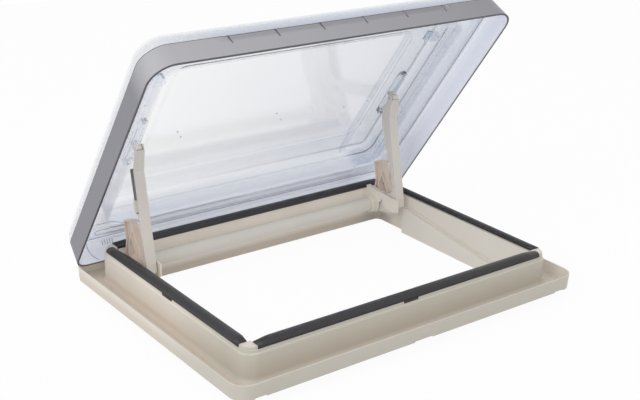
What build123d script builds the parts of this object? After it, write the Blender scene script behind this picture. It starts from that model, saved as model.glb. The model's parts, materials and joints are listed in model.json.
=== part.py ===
from build123d import *
import math
import os

# A hinged roof hatch for a caravan or camper, modelled with its lid open.
# The origin is the centre of the roof cut-out on the outer face of the roof.
# X runs along the hinge, Y points to the hinge side and Z points up. Sizes are in millimetres.

# Roof cut-out and the frame that stands on it
cutout_x = 700.0
cutout_y = 500.0
roof_overlap = 60.0
cutout_gap = 1.5
collar_wall = 3.0
collar_depth = 20.0
collar_corner = 14.0
frame_wall = 3.0
pan_thickness = 4.0
rim_height = 30.0
rim_wall = 3.0
rim_draft = 2.0
rim_corner = 32.0
gutter_width = 41.0
gutter_back_width = 43.0
gutter_cove = 10.0
upstand_corner = 27.0
shoulder_height = 60.0
shoulder_edge = 2.0
seat_height = 66.0
seat_ledge = 2.5
rim_edge = 0.8

# Skirt reliefs, cavity ribs and screw bosses under the frame
relief_height = 2.5
front_notch_width = 44.0
corner_relief_width = 24.0
corner_relief_inset = 46.0
rib_thickness = 2.0
rib_height = 44.0
rib_pitch = 86.0
boss_radius = 4.5
boss_height = 34.0
pilot_radius = 2.0
pilot_depth = 28.0
side_boss_pitch = 400.0
end_boss_pitch = 500.0

# Rubber seal strips and the raised blocks between their ends
seal_outer = 1.5
seal_inner = 18.0
seal_base_inset = 3.5
seal_top = 75.0
seal_edge = 67.5
seal_heel = 2.0
seal_crown_shift = 0.6
seal_bore = 2.6
seal_bore_rise = 0.4
seal_end = 27.0
seal_step = 3.0
seal_step_length = 3.0
seal_fit = 0.3
tongue_length = 34.0
tongue_drop = 3.5
block_height = 6.5
block_chamfer = 1.6

# Sloping ledge pads on the side walls of the opening
pad_reach = 12.5
pad_strip_reach = 2.5
pad_strip_height = 5.0
pad_top = 40.0
pad_front_top = -11.155
pad_tube_gap = 70.0
pad_wall = 3.0
pad_edge = 2.0
pad_bond = 0.5

# Lid hinge, on the back face of the upstand
hinge_offset = 6.5
hinge_z = 43.0
hinge_inset = 50.0
hinge_pin_radius = 2.0
hinge_running_gap = 0.05
hinge_ear_radius = 4.0
hinge_barrel_radius = 3.8
hinge_barrel_length = 40.0
hinge_ear_thickness = 6.0
hinge_plate_thickness = 2.0
hinge_plate_height = 26.0
hinge_side_gap = 0.5
hinge_screw_spread = 14.0
hinge_screw_rise = 9.0
leaf_height = 26.0
leaf_screw_rise = 18.0
lid_open_angle = 54.7
travel_steps = 40

# Lid band, dome and inner pane, all given in the closed position
lid_overhang = 12.0
lid_front_overhang = 11.0
lid_base_gap = 7.0
band_height = 48.0
band_wall = 4.0
hinge_band_gap = 1.0
band_draft = 4.0
band_front_corner = 48.0
band_back_corner = 28.0
band_shelf = 10.0
band_shelf_thickness = 4.0
recess_depth = 1.2
recess_lead = 0.2
recess_height = 13.0
recess_inset = 160.0
recess_end_margin = 12.0
recess_rib_width = 2.4
recess_rib_count = 6
dome_wall = 2.5
dome_shoulder = 75.0
dome_height = 55.5
dome_sections = 8
dome_front_tightening = 0.25
dome_back_tightening = 0.12
dome_least_corner = 12.0
pane_wall = 2.5
pane_fit = 1.4
seal_gap = 0.5
pane_rim_inset = 6.0
pane_rim_width = 14.0
pane_rim_lap = 3.0
pane_slope = 13.0
pane_flange = 32.0
pane_tray_draft = 4.0
pane_bend = 20.0
ridge_inset = 66.0
ridge_height = 4.0
ridge_bend = 2.0

# Lift bow: a cross tube that carries two arms and two levers
tube_radius = 14.75
tube_wall = 2.0
tube_back_gap = 27.5
tube_z = 37.0
tube_running_gap = 0.08
arm_wall_gap = 33.5
arm_thickness = 3.0
arm_flange_width = 22.0
hub_radius = 19.0
tip_dy = -38.0
tip_dz = 260.0
tip_radius = 6.0
lift_ratio = 1.184

# Arm outline from foot to top, each point as a share of the way from tube to tip
# and a distance towards the front of that line
arm_front_line = [(0.081, 76.7), (0.155, 71.9), (0.824, 8.8), (0.989, 8.5)]
arm_rear_line = [(0.977, -6.2), (0.825, -16.5), (0.773, -14.5), (0.613, 2.7), (0.456, 23.9),
                 (0.369, 40.4), (0.2, 56.0), (0.07, 7.4)]
arm_foot_line = [(-0.059, 12.4), (0.0, 62.6)]

# Lever outline and window as (y, z) offsets from the tube's axis
lever_gap = 4.0
lever_thickness = 14.0
lever_web = 4.0
lever_rim = 3.5
lever_outline = [(-15, 105), (15, 95), (7, 52), (15, 11), (10, -15), (-58, -6), (-71, 8), (-68, 25),
                 (-26, 80)]
lever_window = [(-14, 68), (-5, 46), (-7, 27), (-45, 16)]
lug_low = (-40, 62)
lug_high = (-22, 86)
lug_half_width = 3.0

# Gas strut in each arm, from its top stud down to its eye on the lever
strut_radius = 5.0
strut_length = 90.0
strut_edge = 1.0
strut_stud_radius = 2.5
strut_stud_drop = 6.0
rod_radius = 2.0
rod_length = 25.0
strut_top = (0.799, -15.5)
strut_lean = 12.8
strut_eye_radius = 5.0
strut_eye_width = 6.0
clip_wall = 2.2
clip_length = 24.0
clip_end_gap = 4.0
clip_slot = 8.0

# Bearing plates beside the opening, which hold the cross tube; places are measured from its axis
cheek_thickness = 3.0
cheek_gap = 2.5
cheek_boss = 21.5
cheek_top_gap = 1.5
cheek_reach = 88.0
cheek_nose_top = 30.0
cheek_nose_low = 0.0
cheek_nose_round = 7.0
cheek_notch = [(-45, -2), (-31, 18), (-18, 3)]
cheek_flange = 24.0
cheek_flange_low = 8.0
cheek_flange_height = 18.0
cheek_cover = 8.0
cheek_cover_reach = 30.0
cheek_cover_thickness = 3.5
bush_wall = 4.0
bush_length = 14.0
bush_edge = 1.0

# Sliding knuckle and the slotted bracket on the pane
knuckle_inset = 12.0
knuckle_length = 13.0
knuckle_pin_radius = 2.5
pin_cap_lip = 1.5
pin_cap_thickness = 1.5
pin_cap_gap = 0.5
stem_radius = 2.75
head_radius = 6.5
head_thickness = 2.0
head_gap = 0.5
slot_side_gap = 0.75
bracket_plate = 2.0
bracket_clear = 1.2
bracket_width = 22.0
bracket_rail = 3.4
bracket_end = 15.0
bracket_edge = 0.8
bracket_end_gap = 1.0
bracket_screw_gap = 8.0
slot_spare = 46.0
slot_margin = 5.0

# Latch hooks near the front of the pane
hook_setback = 148.0
hook_width = 26.0
hook_length = 24.0
hook_height = 21.0
hook_wall = 3.0
hook_wall_gap = 0.5
hook_back_share = 0.45

# Screws
screw_radius = 2.0
screw_head_radius = 4.0
screw_head_height = 1.4
screw_edge = 0.8
hinge_screw_length = 5.0
bracket_screw_length = 9.0
cheek_screw_length = 5.5
cheek_screw_pitch = 10.0

# Overrun of a cut past the face that it opens, and of a rib into the wall that it joins
spare = 1.0

# Places that follow from the sizes above
rim_x = cutout_x / 2 + roof_overlap
rim_y = cutout_y / 2 + roof_overlap
upstand_x = rim_x - gutter_width
upstand_front = -(rim_y - gutter_width)
upstand_back = rim_y - gutter_back_width
collar_x = cutout_x / 2 - cutout_gap
collar_y = cutout_y / 2 - cutout_gap
open_x = collar_x - collar_wall
open_y = collar_y - collar_wall
hinge_y = upstand_back + hinge_offset
hinge_half_spacing = cutout_x / 2 - hinge_inset
lid_x = rim_x + lid_overhang
lid_front = -(rim_y + lid_front_overhang)
lid_back = hinge_y + hinge_ear_radius + hinge_band_gap + band_wall
lid_base = rim_height + lid_base_gap
band_top = lid_base + band_height
recess_half_length = lid_x - recess_inset
tube_y = open_y - tube_back_gap
pad_back_y = tube_y - pad_tube_gap
arm_inner = open_x - arm_wall_gap - arm_thickness
arm_outer = arm_inner + arm_flange_width
lever_inner = arm_inner + arm_thickness + lever_gap
lever_outer = lever_inner + lever_thickness
cheek_outer = arm_inner - cheek_gap
cheek_inner = cheek_outer - cheek_thickness
cheek_top = seal_top - cheek_top_gap
knuckle_x = arm_inner + knuckle_inset
tip_y = tube_y + tip_dy
tip_z = tube_z + tip_dz
hook_y = lid_front + hook_setback


def turned(y, z, centre_y, centre_z, degrees):
    """Turn a point of the YZ plane about another one, positive by the right-hand rule about X."""
    angle = math.radians(degrees)
    dy = y - centre_y
    dz = z - centre_z
    new_y = centre_y + dy * math.cos(angle) - dz * math.sin(angle)
    new_z = centre_z + dy * math.sin(angle) + dz * math.cos(angle)
    return new_y, new_z


def slide_path():
    """The knuckle's pivot in the closed lid's own coordinates, step by step from open to shut."""
    path = []
    for step in range(travel_steps + 1):
        angle = lid_open_angle * step / travel_steps
        y, z = turned(tip_y, tip_z, tube_y, tube_z, lift_ratio * angle)
        path.append(turned(y, z, hinge_y, hinge_z, lid_open_angle - angle))
    return path


# The pivot rises and falls a little as it slides, and the knuckle's head has room for that
slide_open_y, slide_z = slide_path()[0]
slide_shut_y = slide_path()[-1][0]
slide_high = max(z for y, z in slide_path())
slide_low = min(z for y, z in slide_path())
bracket_low = slide_high + tip_radius + bracket_clear
head_low = bracket_low + bracket_plate + head_gap + slide_z - slide_low
pane_z = head_low + slide_high - slide_z + head_thickness + head_gap


def outline(half_x, y_low, y_high, low_corner, high_corner):
    """Flat rounded rectangle with one corner radius at each end in Y."""
    face = Pos(0, (y_low + y_high) / 2) * Rectangle(2 * half_x, y_high - y_low)
    face = fillet(face.vertices().group_by(Axis.Y)[0], low_corner)
    return fillet(face.vertices().group_by(Axis.Y)[-1], high_corner)


def slab(half_x, y_low, y_high, z_low, z_high, corner):
    """Upright block with rounded corners."""
    face = outline(half_x, y_low, y_high, corner, corner)
    return extrude(Pos(0, 0, z_low) * face, z_high - z_low)


def side_plate(points, x_low, x_high):
    """Plate in the YZ plane from a closed run of (y, z) points, between two X values."""
    face = make_face(Polyline(*points, close=True))
    return extrude(Plane.YZ.offset(x_low) * face, x_high - x_low)


def side_rod(y, z, radius, x_low, x_high):
    """Round bar along X."""
    return extrude(Plane.YZ.offset(x_low) * Pos(y, z) * Circle(radius), x_high - x_low)


def block(x_low, x_high, y_low, y_high, z_low, z_high):
    """Plain box between two corners."""
    size = Box(x_high - x_low, y_high - y_low, z_high - z_low)
    return Pos((x_low + x_high) / 2, (y_low + y_high) / 2, (z_low + z_high) / 2) * size


def opened(shape):
    """Swing a piece of the closed lid about the hinge to the open position."""
    return shape.rotate(Axis((0, hinge_y, hinge_z), (1, 0, 0)), -lid_open_angle)


def other_side(shape):
    """Mirror image of a piece on the far side of the YZ plane."""
    return mirror(shape, about=Plane.YZ)


def from_tube(points):
    """Place (y, z) offsets from the cross tube's axis in the frame."""
    return [(tube_y + dy, tube_z + dz) for dy, dz in points]


def from_arm(points):
    """Place (share, offset) points along the line from the tube's axis to the arm's tip."""
    length = math.hypot(tip_dy, tip_dz)
    return [(tube_y + share * tip_dy - offset_y * tip_dz / length,
             tube_z + share * tip_dz + offset_y * tip_dy / length) for share, offset_y in points]


def screw(x, y, z, axis, length):
    """Pan-head screw: a head that stands out along axis, and its shank."""
    plane = Plane(origin=(x, y, z), z_dir=axis)
    head = extrude(plane * Circle(screw_head_radius), screw_head_height)
    head = chamfer(head.edges().sort_by(Axis(plane.origin, plane.z_dir))[-1], screw_edge)
    shank = extrude(plane * Circle(screw_radius), -length)
    return head + shank


def make_outer_frame():
    """Thin-walled frame: rim, gutter, upstand, seal seat and the collar through the roof."""
    lean = math.degrees(math.atan(rim_draft / rim_height))
    foot = outline(rim_x - rim_draft, -rim_y + rim_draft, rim_y - rim_draft, rim_corner, rim_corner)
    frame = extrude(foot, rim_height, taper=-lean)
    floor_inset = rim_draft * (1 - pan_thickness / rim_height) + rim_wall
    floor = outline(rim_x - floor_inset, -rim_y + floor_inset, rim_y - floor_inset,
                    rim_corner - rim_wall, rim_corner - rim_wall)
    frame -= extrude(Pos(0, 0, pan_thickness) * floor, rim_height, taper=-lean)
    frame = chamfer(frame.edges().group_by(Axis.Z)[-1], rim_edge)

    upstand = slab(upstand_x, upstand_front, upstand_back, 0, shoulder_height, upstand_corner)
    upstand = chamfer(upstand.edges().group_by(Axis.Z)[-1], shoulder_edge)
    frame += upstand
    cove = [e for e in frame.edges().filter_by_position(Axis.Z, pan_thickness - 0.01, pan_thickness + 0.01)
            if abs(e.center().X) < upstand_x + spare
            and upstand_front - spare < e.center().Y < upstand_back + spare]
    frame = fillet(cove, gutter_cove)

    frame += slab(upstand_x - seat_ledge, upstand_front + seat_ledge, upstand_back - seat_ledge,
                  0, seat_height, upstand_corner - seat_ledge)
    frame += corner_blocks()
    frame += slab(collar_x, -collar_y, collar_y, -collar_depth, pan_thickness, collar_corner + collar_wall)
    frame -= cavity(frame_wall, -spare, shoulder_height - frame_wall)
    frame -= cavity(frame_wall + seat_ledge, -spare, seat_height - frame_wall)
    frame += cavity_ribs()
    frame += bosses()
    frame -= slab(open_x, -open_y, open_y, -collar_depth - spare, seal_top + spare, collar_corner)
    frame += ledge_pad()
    frame += other_side(ledge_pad())
    frame -= lip_notches()
    frame -= skirt_reliefs()
    return frame


def cavity(inset, z_low, z_high):
    """Hollow between the upstand's outer wall and the collar, inset from the outer face."""
    outer = slab(upstand_x - inset, upstand_front + inset, upstand_back - inset, z_low, z_high,
                 upstand_corner - inset)
    corner = collar_corner + collar_wall
    return outer - slab(collar_x, -collar_y, collar_y, z_low - spare, z_high + spare, corner)


def corner_blocks():
    """Raised blocks at the four corners, which the seal strips butt against."""
    ring = slab(upstand_x - seal_base_inset, upstand_front + seal_base_inset, upstand_back - seal_base_inset,
                seat_height - spare, seat_height + block_height, upstand_corner - seal_base_inset)
    ring = chamfer(ring.edges().group_by(Axis.Z)[-1], block_chamfer)
    parts = []
    for side_x in (-1, 1):
        for end in (upstand_front, upstand_back):
            inward = 1 if end < 0 else -1
            x_low, x_high = sorted((side_x * (upstand_x - seal_end), side_x * (upstand_x + spare)))
            y_low, y_high = sorted((end + inward * seal_end, end - inward))
            parts.append(ring & block(x_low, x_high, y_low, y_high, seat_height - spare, seal_top))
    return Part() + parts


def rib_places(half_span):
    """Even places along a wall, symmetric about its middle."""
    count = int(half_span // rib_pitch)
    return [step * rib_pitch for step in range(-count, count + 1)]


def cavity_ribs():
    """Cross ribs that tie the upstand's two walls together."""
    ribs = []
    half = rib_thickness / 2
    for y in rib_places(open_y - collar_corner):
        ribs.append(block(collar_x - spare, upstand_x - spare, y - half, y + half, pan_thickness, rib_height))
        ribs.append(block(-upstand_x + spare, -collar_x + spare, y - half, y + half, pan_thickness, rib_height))
    for x in rib_places(open_x - collar_corner):
        ribs.append(block(x - half, x + half, collar_y - spare, upstand_back - spare, pan_thickness, rib_height))
        ribs.append(block(x - half, x + half, upstand_front + spare, -collar_y + spare, pan_thickness, rib_height))
    return Part() + ribs


def boss_places():
    """Centres of the screw bosses in the frame's cavity."""
    side_x = (collar_x + upstand_x - frame_wall) / 2
    end_y = (collar_y + upstand_back - frame_wall) / 2
    sides = [(sx * side_x, sy * side_boss_pitch / 2) for sx in (-1, 1) for sy in (-1, 1)]
    ends = [(sx * end_boss_pitch / 2, sy * end_y) for sx in (-1, 1) for sy in (-1, 1)]
    return sides + ends


def bosses():
    """Bosses for the screws that come up through the roof from the inner trim frame."""
    made = []
    for x, y in boss_places():
        boss = extrude(Pos(x, y) * Circle(boss_radius), boss_height)
        on_side = abs(x) > collar_x
        turn = 0 if on_side else 90
        reach = (upstand_x - collar_x) if on_side else (upstand_back - collar_y)
        half = rib_thickness / 2
        bridge = block(-reach / 2, reach / 2, -half, half, pan_thickness, boss_height)
        boss += Pos(x, y) * Rot(0, 0, turn) * bridge
        boss -= extrude(Pos(x, y, -spare) * Circle(pilot_radius), pilot_depth + spare)
        made.append(boss)
    return Part() + made


def pad_line(y):
    """Height of the sloping ledge at a place along the side wall."""
    slope = (pad_top - pad_front_top) / (pad_back_y + open_y)
    return pad_top + slope * (y - pad_back_y)


def ledge_pad():
    """Right-hand pad: a thick lower wall under a sloping ledge, with a thin strip above it."""
    front = -open_y
    body = side_plate([(front, -collar_depth), (pad_back_y, -collar_depth),
                       (pad_back_y, pad_line(pad_back_y)), (front, pad_line(front))],
                      open_x - pad_reach, open_x)
    inner_edges = [e for e in body.edges() if abs(e.center().X - open_x + pad_reach) < 0.1
                   and e.center().Z > -collar_depth + spare]
    body = chamfer(inner_edges, pad_edge)
    back = pad_back_y - pad_wall
    core = side_plate([(front - spare, -collar_depth - spare), (back, -collar_depth - spare),
                       (back, pad_line(back) - pad_wall), (front - spare, pad_line(front) - pad_wall)],
                      open_x - pad_reach + pad_wall, open_x - pad_bond)
    strip = side_plate([(front, pad_line(front) - spare), (pad_back_y, pad_line(pad_back_y) - spare),
                        (pad_back_y, pad_line(pad_back_y) + pad_strip_height),
                        (front, pad_line(front) + pad_strip_height)],
                       open_x - pad_strip_reach, open_x + pad_bond)
    return body - core + strip


def lip_notches():
    """A dip in the seat's outer edge midway along each side, for the seal's tongue."""
    half = tongue_length / 2 + seal_fit
    low = seat_height - tongue_drop - seal_fit
    depth = seal_base_inset + seal_fit
    y_mid = (upstand_front + upstand_back) / 2
    cuts = [block(-half, half, upstand_front - spare, upstand_front + depth, low, seal_top),
            block(-half, half, upstand_back - depth, upstand_back + spare, low, seal_top),
            block(upstand_x - depth, upstand_x + spare, y_mid - half, y_mid + half, low, seal_top),
            block(-upstand_x - spare, -upstand_x + depth, y_mid - half, y_mid + half, low, seal_top)]
    return Part() + cuts


def skirt_reliefs():
    """Drain notches along the lower edge of the rim."""
    half = front_notch_width / 2
    deep = rim_wall + rim_draft
    cuts = []
    for sign in (-1, 1):
        y_low, y_high = sorted((sign * (rim_y + spare), sign * (rim_y - deep)))
        cuts.append(block(-half, half, y_low, y_high, -spare, relief_height))
        for side in (-1, 1):
            x_mid = side * (rim_x - corner_relief_inset)
            cuts.append(block(x_mid - corner_relief_width / 2, x_mid + corner_relief_width / 2,
                              y_low, y_high, -spare, relief_height))
    return Part() + cuts


def seal_profile():
    """Cross-section of the seal: distance in from the upstand's face, and height."""
    base = seat_height
    heel = (seal_inner, seal_edge + seal_heel)
    middle = (seal_inner + seal_outer) / 2
    lines = [Line((seal_base_inset, base), (seal_inner, base)),
             Line((seal_inner, base), heel),
             ThreePointArc(heel, (middle + seal_crown_shift, seal_top), (seal_outer, seal_edge)),
             Line((seal_outer, seal_edge), (seal_base_inset, base))]
    face = make_face(Curve() + lines)
    return face - Pos(middle, (base + seal_top) / 2 + seal_bore_rise) * Circle(seal_bore)


def make_seal(length):
    """Seal strip along X at the front, with stepped ends and a tongue at its middle."""
    plane = Plane(origin=(-length / 2, upstand_front, 0), x_dir=(0, 1, 0), z_dir=(1, 0, 0))
    strip = extrude(plane * seal_profile(), length)
    for end in (-1, 1):
        x_low, x_high = sorted((end * (length / 2 + spare), end * (length / 2 - seal_step_length)))
        strip -= block(x_low, x_high, upstand_front - spare, upstand_front + seal_base_inset + seal_step,
                       seat_height - spare, seal_top + spare)
    low = seat_height - tongue_drop
    strip += block(-tongue_length / 2, tongue_length / 2, upstand_front + seal_outer,
                   upstand_front + seal_base_inset, low, seal_edge)
    return strip


def make_seals():
    """The four seal strips, on the front, back, left and right of the seat."""
    long_run = 2 * (upstand_x - seal_end - seal_fit)
    short_run = (upstand_back - upstand_front) - 2 * (seal_end + seal_fit)
    y_mid = (upstand_front + upstand_back) / 2
    front = make_seal(long_run)
    back = Pos(0, upstand_back + upstand_front) * front.rotate(Axis.Z, 180)
    side = Pos(0, -upstand_front) * make_seal(short_run)
    right = Pos(upstand_x, y_mid) * side.rotate(Axis.Z, 90)
    left = Pos(-upstand_x, y_mid) * side.rotate(Axis.Z, -90)
    return {"seal_front": front, "seal_back": back, "seal_right": right, "seal_left": left}


def make_hinge_bracket():
    """Right-hand hinge bracket: a plate on the upstand with two ears round the hinge axis."""
    mid = hinge_half_spacing
    half = hinge_barrel_length / 2 + hinge_side_gap
    outer = half + hinge_ear_thickness
    z_low = hinge_z - hinge_plate_height / 2
    plate = block(mid - outer, mid + outer, upstand_back, upstand_back + hinge_plate_thickness,
                  z_low, z_low + hinge_plate_height)
    for side in (-1, 1):
        x_low, x_high = sorted((mid + side * half, mid + side * outer))
        ear = side_rod(hinge_y, hinge_z, hinge_ear_radius, x_low, x_high)
        ear += block(x_low, x_high, upstand_back, hinge_y, hinge_z - hinge_ear_radius,
                     hinge_z + hinge_ear_radius)
        plate += ear
    bore = side_rod(hinge_y, hinge_z, hinge_pin_radius, mid - outer - spare, mid + outer + spare)
    return plate - bore


def make_hinge_pin():
    """Right-hand hinge pin, pressed into the bracket's ears."""
    half = hinge_barrel_length / 2 + hinge_side_gap + hinge_ear_thickness
    return side_rod(hinge_y, hinge_z, hinge_pin_radius, hinge_half_spacing - half, hinge_half_spacing + half)


def make_hinge_leaf():
    """Right-hand hinge leaf in the closed position: a barrel on the pin and a plate on the band."""
    half = hinge_barrel_length / 2
    mid = hinge_half_spacing
    wall_y = lid_back - band_wall - band_draft * (hinge_z - lid_base) / band_height
    top_y = wall_y - band_draft * leaf_height / band_height
    barrel = side_rod(hinge_y, hinge_z, hinge_barrel_radius, mid - half, mid + half)
    thick = hinge_plate_thickness
    plate = side_plate([(wall_y - thick, hinge_z), (wall_y, hinge_z), (top_y, hinge_z + leaf_height),
                        (top_y - thick, hinge_z + leaf_height)], mid - half, mid + half)
    leaf = barrel + plate
    return leaf - side_rod(hinge_y, hinge_z, hinge_pin_radius + hinge_running_gap, mid - half - spare,
                           mid + half + spare)


def lid_section(inset, height, sink=0.0):
    """Outline of the closed lid at a height above the band, drawn in from the band's top edge."""
    total = inset + band_draft + sink
    low = max(band_front_corner - inset * dome_front_tightening - sink, dome_least_corner)
    high = max(band_back_corner - inset * dome_back_tightening - sink, dome_least_corner)
    face = outline(lid_x - total, lid_front + total, lid_back - total, low, high)
    return Pos(0, 0, band_top + height - sink) * face


def dome_solid(sink):
    """Solid under the dome's surface: an upright edge that bends over in facets to a flat top."""
    sections = [Pos(0, 0, sink - spare) * lid_section(0, 0, sink)] if sink else [lid_section(0, 0, 0)]
    for step in range(1, dome_sections + 1):
        angle = math.radians(90 * step / dome_sections)
        inset = dome_shoulder * (1 - math.cos(angle))
        sections.append(lid_section(inset, dome_height * math.sin(angle), sink))
    return loft(sections, ruled=True)


def make_dome():
    """Clear outer dome, a shell of even thickness."""
    return dome_solid(0.0) - dome_solid(dome_wall)


def make_band():
    """Band round the lid, leaning in towards the top, with a shelf that carries the pane."""
    def ring(inset):
        low = outline(lid_x - inset, lid_front + inset, lid_back - inset,
                      band_front_corner - inset, band_back_corner - inset)
        high = outline(lid_x - inset - band_draft, lid_front + inset + band_draft,
                       lid_back - inset - band_draft, band_front_corner - inset, band_back_corner - inset)
        return loft([Pos(0, 0, lid_base) * low, Pos(0, 0, band_top) * high])
    band = ring(0)
    shelf_low = band_top - band_shelf_thickness
    hollow = ring(band_wall)
    shelf_inset = band_wall + band_draft + band_shelf
    shelf_hole = slab(lid_x - shelf_inset, lid_front + shelf_inset, lid_back - shelf_inset, shelf_low - spare,
                      band_top + spare, band_back_corner - band_wall)
    band -= hollow - block(-lid_x, lid_x, lid_front, lid_back, shelf_low, band_top + spare)
    band -= shelf_hole
    return band - front_recess()


def front_recess():
    """Shallow recess along the band's front face, crossed by short upright ribs."""
    slope = band_draft / band_height
    low = band_top - recess_height
    face_low = lid_front + slope * (low - lid_base)
    face_high = lid_front + band_draft
    high = band_top + spare
    cut = side_plate([(face_low - spare, low), (face_low + recess_lead, low),
                      (face_high + recess_depth, high), (face_high - spare, high)],
                     -recess_half_length, recess_half_length)
    pitch = 2 * (recess_half_length - recess_end_margin) / (recess_rib_count - 1)
    for step in range(recess_rib_count):
        x = (step - (recess_rib_count - 1) / 2) * pitch
        cut -= block(x - recess_rib_width / 2, x + recess_rib_width / 2, lid_front - 2 * spare,
                     lid_front + band_wall, low - spare, band_top + 2 * spare)
    return cut


def tray_solid(grow):
    """Solid that fills the pane's tray, grown by a wall thickness on its sides and top."""
    edge = pane_rim_inset + pane_rim_width + pane_slope + pane_flange + band_draft - grow
    base = seal_top + seal_gap
    high = pane_z + grow
    corner = band_back_corner
    start = base if grow else base - 1
    low = Pos(0, 0, start) * outline(lid_x - edge, lid_front + edge, lid_back - edge, corner, corner)
    taper = math.degrees(math.atan(pane_tray_draft / (high - base)))
    tray = extrude(low, high - start, taper=taper)
    tray = fillet(tray.edges().group_by(Axis.Z)[-1], pane_bend + grow)
    raised = edge + ridge_inset
    ridge = slab(lid_x - raised, lid_front + raised, lid_back - raised, high - spare,
                 high + ridge_height, corner)
    ridge = chamfer(ridge.edges().group_by(Axis.Z)[-1], ridge_bend)
    return tray + ridge


def make_pane():
    """Clear inner pane: a rim on the band's shelf, a sealing flange and a deep tray."""
    base = seal_top + seal_gap
    rim_low = band_top
    outer = band_draft + dome_wall + pane_fit
    inner = outer + pane_rim_width

    def drawn(inset, z):
        return Pos(0, 0, z) * outline(lid_x - inset, lid_front + inset, lid_back - inset,
                                      band_front_corner, band_back_corner)
    slope_low = drawn(inner + pane_slope, base)
    slope_high = drawn(inner, rim_low)
    dish = loft([slope_low, slope_high], ruled=True)
    dish -= Pos(0, 0, pane_wall) * dish
    rim = extrude(drawn(outer, rim_low), pane_wall)
    rim -= extrude(drawn(inner + pane_rim_lap, rim_low - spare), pane_wall + 2 * spare)
    pane = dish + rim + tray_solid(pane_wall)
    return pane - tray_solid(0.0)


def bracket_span():
    """Front and back ends of the slot in the closed lid, at the slot's end centres."""
    return slide_shut_y - slot_margin, slide_open_y + slot_spare


def obround(length, width):
    """Flat slot shape along Y."""
    return Rot(0, 0, 90) * SlotOverall(length, width)


def make_slide_bracket():
    """Right-hand slotted bracket on the pane: a channel whose floor has the slot."""
    low, high = bracket_span()
    mid = (low + high) / 2
    length = high - low + 2 * (slot_margin + bracket_end)
    depth = pane_z - bracket_low
    body = extrude(Pos(knuckle_x, mid, bracket_low) * obround(length, bracket_width), depth)
    body = chamfer(body.edges().group_by(Axis.Z)[0], bracket_edge)
    room = bracket_width - 2 * bracket_rail
    inner = high - low + 2 * (head_radius + bracket_end_gap)
    body -= extrude(Pos(knuckle_x, mid, bracket_low + bracket_plate) * obround(inner, room), depth)
    slot_width = 2 * (stem_radius + slot_side_gap)
    slot = obround(high - low + slot_width, slot_width)
    body -= extrude(Pos(knuckle_x, mid, bracket_low - spare) * slot, depth)
    for y in bracket_screw_places():
        body -= extrude(Pos(knuckle_x, y, bracket_low - spare) * Circle(screw_radius), depth + 2 * spare)
    return body & tray_solid(0.0)


def bracket_screw_places():
    """Places of the two screws at the ends of the slotted bracket."""
    low, high = bracket_span()
    gap = head_radius + bracket_screw_gap
    return low - gap, high + gap


def make_knuckle():
    """Right-hand sliding knuckle in the closed lid's coordinates: barrel, neck, stem and head."""
    half = knuckle_length / 2
    y, z = slide_open_y, slide_z
    barrel = side_rod(y, z, tip_radius, knuckle_x - half, knuckle_x + half)
    stem = extrude(Pos(knuckle_x, y, z) * Circle(stem_radius), head_low + head_thickness - z)
    head = extrude(Pos(knuckle_x, y, head_low) * Circle(head_radius), head_thickness)
    body = barrel + stem + head
    return body - side_rod(y, z, knuckle_pin_radius + hinge_running_gap, knuckle_x - half - spare,
                           knuckle_x + half + spare)


def make_knuckle_pin():
    """Right-hand knuckle pin, fixed in the arm's tip, with a cap that keeps the knuckle on."""
    cap_x = knuckle_x + knuckle_length / 2 + pin_cap_gap
    pin = side_rod(tip_y, tip_z, knuckle_pin_radius, arm_inner, cap_x + pin_cap_thickness)
    return pin + side_rod(tip_y, tip_z, knuckle_pin_radius + pin_cap_lip, cap_x, cap_x + pin_cap_thickness)


def make_lift_arm():
    """Right-hand lift arm: a web, a front flange and a hub on the cross tube."""
    front = from_arm(arm_front_line)
    web = side_plate(front + from_arm(arm_rear_line + arm_foot_line), arm_inner, arm_inner + arm_thickness)
    web += side_rod(tip_y, tip_z, tip_radius, arm_inner, arm_inner + arm_thickness)
    web += side_rod(tube_y, tube_z, hub_radius, arm_inner, arm_inner + arm_thickness)
    back = [(y + arm_thickness, z) for y, z in reversed(front)]
    arm = web + side_plate(front + back, arm_inner, arm_outer)
    arm -= side_rod(tube_y, tube_z, tube_radius, arm_inner - spare, arm_outer + spare)
    return arm - side_rod(tip_y, tip_z, knuckle_pin_radius, arm_inner - spare, arm_outer + spare)


def make_lever():
    """Right-hand ribbed lever between the tube and the strut, with a window and webbed pockets."""
    ring = make_face(Polyline(*from_tube(lever_outline), close=True))
    ring += Pos(tube_y, tube_z) * Circle(hub_radius)
    window = make_face(Polyline(*from_tube(lever_window), close=True))
    body = extrude(Plane.YZ.offset(lever_inner) * (ring - window), lever_thickness)
    keep = offset(window, lever_rim, kind=Kind.INTERSECTION) + Pos(tube_y, tube_z) * Circle(hub_radius)
    pocket = offset(ring, -lever_rim, kind=Kind.INTERSECTION) - keep
    depth = (lever_thickness - lever_web) / 2
    body -= extrude(Plane.YZ.offset(lever_outer - depth) * pocket, depth + spare)
    body -= extrude(Plane.YZ.offset(lever_inner - spare) * pocket, depth + spare)
    body += make_lever_lug()
    return body - side_rod(tube_y, tube_z, tube_radius, lever_inner - spare, lever_outer + spare)


def make_lever_lug():
    """Lug on the lever that reaches up to the strut's eye, with the eye's stud."""
    y, z = strut_point(strut_length + rod_length)
    eye_side = knuckle_x - strut_eye_width / 2
    low, high = from_tube([lug_low, lug_high])
    lug = side_rod(y, z, strut_eye_radius, lever_inner, eye_side)
    lug += side_plate([(y - lug_half_width, z - lug_half_width), low, high,
                       (y + lug_half_width, z + lug_half_width)], lever_inner, eye_side)
    return lug + side_rod(y, z, rod_radius, lever_inner, knuckle_x + strut_eye_width / 2 + spare)


def strut_point(distance):
    """Point on the strut's axis at a distance down from its top."""
    angle = math.radians(strut_lean)
    top_y, top_z = from_arm([strut_top])[0]
    return top_y - distance * math.sin(angle), top_z - distance * math.cos(angle)


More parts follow.
